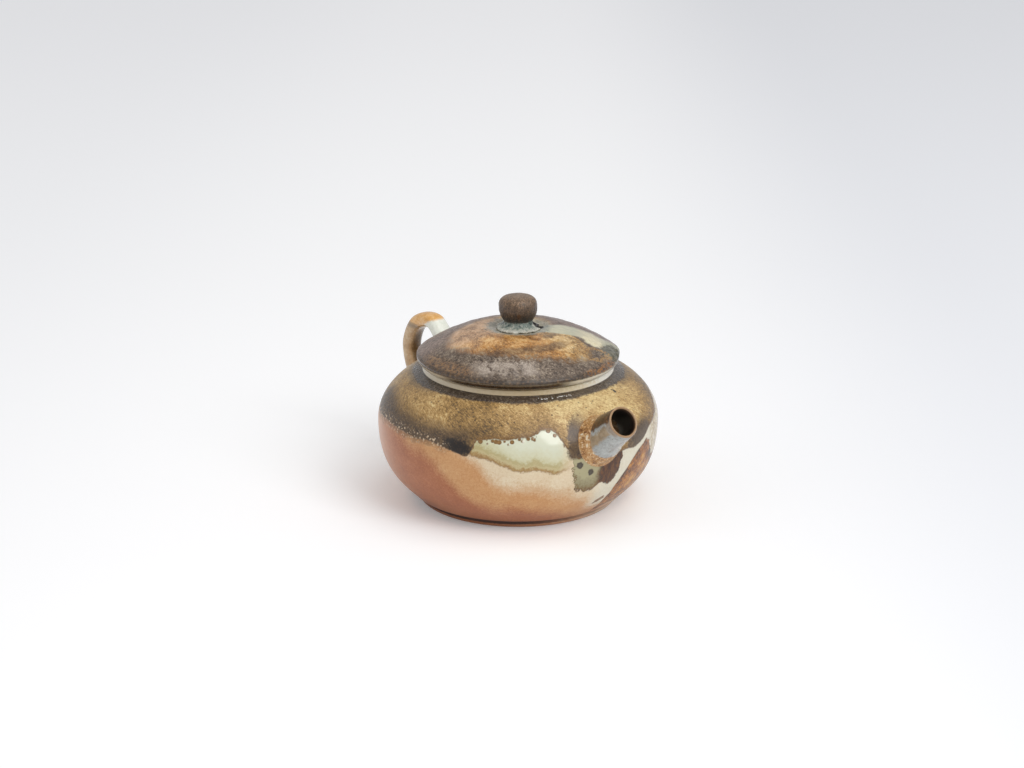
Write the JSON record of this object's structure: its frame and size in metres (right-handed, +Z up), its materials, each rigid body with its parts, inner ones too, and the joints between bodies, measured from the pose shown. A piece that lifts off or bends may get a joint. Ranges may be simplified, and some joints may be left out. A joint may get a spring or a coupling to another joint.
{
  "type": "teapot",
  "caption": "Squat round porcelain teapot with a short straight spout, an ear handle opposite it, a pierced strainer inside and a lift-off domed lid with a ball knob.",
  "frame": {"origin": "on the table, under the middle of the whole teapot's length (spout and handle included) and on its middle plane", "axes": "+X towards the spout, along the line from handle to spout; +Z up, along the pot's axis; the middle plane is Y = 0"},
  "size_m": [0.1214, 0.088, 0.0649],
  "materials": {
    "body_glaze": "gloss",
    "spout_glaze": "gloss",
    "strainer_glaze": "satin",
    "handle_glaze": "gloss",
    "lid_glaze": "satin",
    "knob_glaze": "satin"
  },
  "bodies": {
    "pot": {"pot_body": "body_glaze", "spout": "spout_glaze", "strainer": "strainer_glaze", "handle": "handle_glaze"},
    "lid": {"lid": "lid_glaze", "lid_knob": "knob_glaze"}
  },
  "joints": [
    {"name": "lid_lift", "type": "slide", "parent": "pot", "child": "lid", "axis": [0, 0, 1], "range_m": [0, 0.04]}
  ]
}
